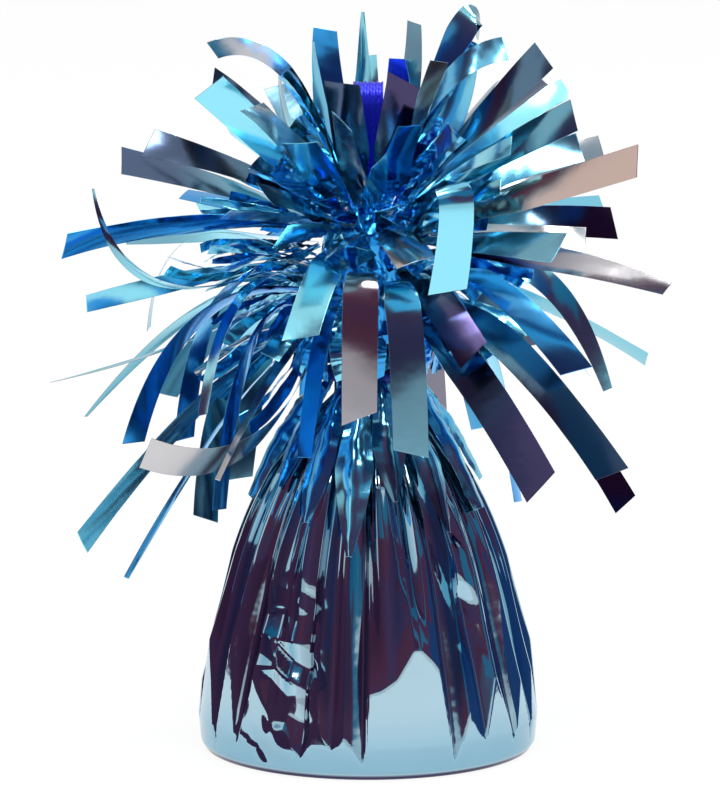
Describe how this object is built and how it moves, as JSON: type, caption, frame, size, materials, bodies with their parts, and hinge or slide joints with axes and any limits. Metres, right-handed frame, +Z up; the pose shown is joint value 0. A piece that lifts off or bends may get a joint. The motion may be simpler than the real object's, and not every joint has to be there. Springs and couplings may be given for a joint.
{
  "type": "balloon weight",
  "caption": "Foil-wrapped bell-shaped balloon weight with a gathered neck, a burst of shiny foil strips and a ribbon loop to tie balloons to.",
  "frame": {"origin": "middle of the flat foot", "axes": "+Z up through the neck, -Y towards the front as pictured, +X to its right"},
  "size_m": [0.1139, 0.0944, 0.1361],
  "materials": {
    "foil": "metallised film, mirror bright",
    "cup_plastic": "moulded",
    "sand": "loose grains",
    "elastic": "matte",
    "ribbon_royal": "metallic, crimped"
  },
  "bodies": {
    "base": {"foil_wrap": "foil", "ballast_cup": "cup_plastic", "base_plug": "cup_plastic", "ballast_fill": "sand", "neck_band": "elastic", "front_skirt": "foil", "left_skirt": "foil", "right_skirt": "foil", "back_skirt": "foil"},
    "heart": {"fringe_heart": "foil"},
    "burst": {"crown_tuft": "foil", "upper_left_tuft": "foil", "left_tuft": "foil", "left_low_tuft": "foil", "lower_left_tuft": "foil", "hanging_left_tuft": "foil", "upper_right_tuft": "foil", "right_fan_tuft": "foil", "right_tuft": "foil", "right_reach_tuft": "foil", "lower_right_tuft": "foil", "hanging_right_tuft": "foil", "front_tuft": "foil", "front_upper_tuft": "foil", "front_middle_tuft": "foil", "back_crown_tuft": "foil", "back_upper_left_tuft": "foil", "back_upper_right_tuft": "foil", "back_left_tuft": "foil", "back_right_tuft": "foil", "back_low_left_tuft": "foil", "back_low_right_tuft": "foil", "back_hanging_tuft": "foil"},
    "loop": {"tie_loop": "ribbon_royal"}
  },
  "joints": [
    {"name": "burst_nod", "type": "hinge", "parent": "base", "child": "heart", "pos_m": [0, 0, 0.07], "axis": [1, 0, 0], "range_deg": [-8, 8], "stiffness_Nm_per_rad": 0.03},
    {"name": "burst_twist", "type": "hinge", "parent": "heart", "child": "burst", "pos_m": [0, 0, 0.094], "axis": [0, 0, 1], "range_deg": [-15, 15], "stiffness_Nm_per_rad": 0.01},
    {"name": "loop_flop", "type": "hinge", "parent": "burst", "child": "loop", "pos_m": [0, 0, 0.1034], "axis": [1, 0, 0], "range_deg": [-6, 6], "stiffness_Nm_per_rad": 0.001}
  ]
}
